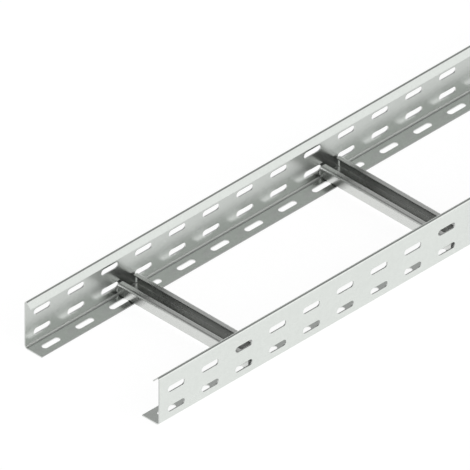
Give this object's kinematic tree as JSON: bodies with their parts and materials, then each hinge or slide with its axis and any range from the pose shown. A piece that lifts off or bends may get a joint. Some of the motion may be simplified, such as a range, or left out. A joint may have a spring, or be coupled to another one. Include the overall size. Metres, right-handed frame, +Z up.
{
  "type": "cable ladder section",
  "caption": "Straight cable ladder section: two slotted, lipped side rails joined by welded open-top channel rungs, in galvanised steel.",
  "frame": {"origin": "middle of the section's length and width, on the level floor under the side rails", "axes": "+X along the ladder, +Y across it to the left rail, +Z up to the open side that takes the cables"},
  "size_m": [3, 0.2, 0.06],
  "materials": {
    "rail_steel": "pre-galvanised sheet, smooth satin sheen",
    "rung_steel": "pre-galvanised sheet, smooth satin sheen"
  },
  "bodies": {
    "root": {"side_rail_left": "rail_steel", "side_rail_right": "rail_steel", "rung_01": "rung_steel", "rung_02": "rung_steel", "rung_03": "rung_steel", "rung_04": "rung_steel", "rung_05": "rung_steel", "rung_06": "rung_steel", "rung_07": "rung_steel", "rung_08": "rung_steel", "rung_09": "rung_steel", "rung_10": "rung_steel"}
  },
  "joints": []
}
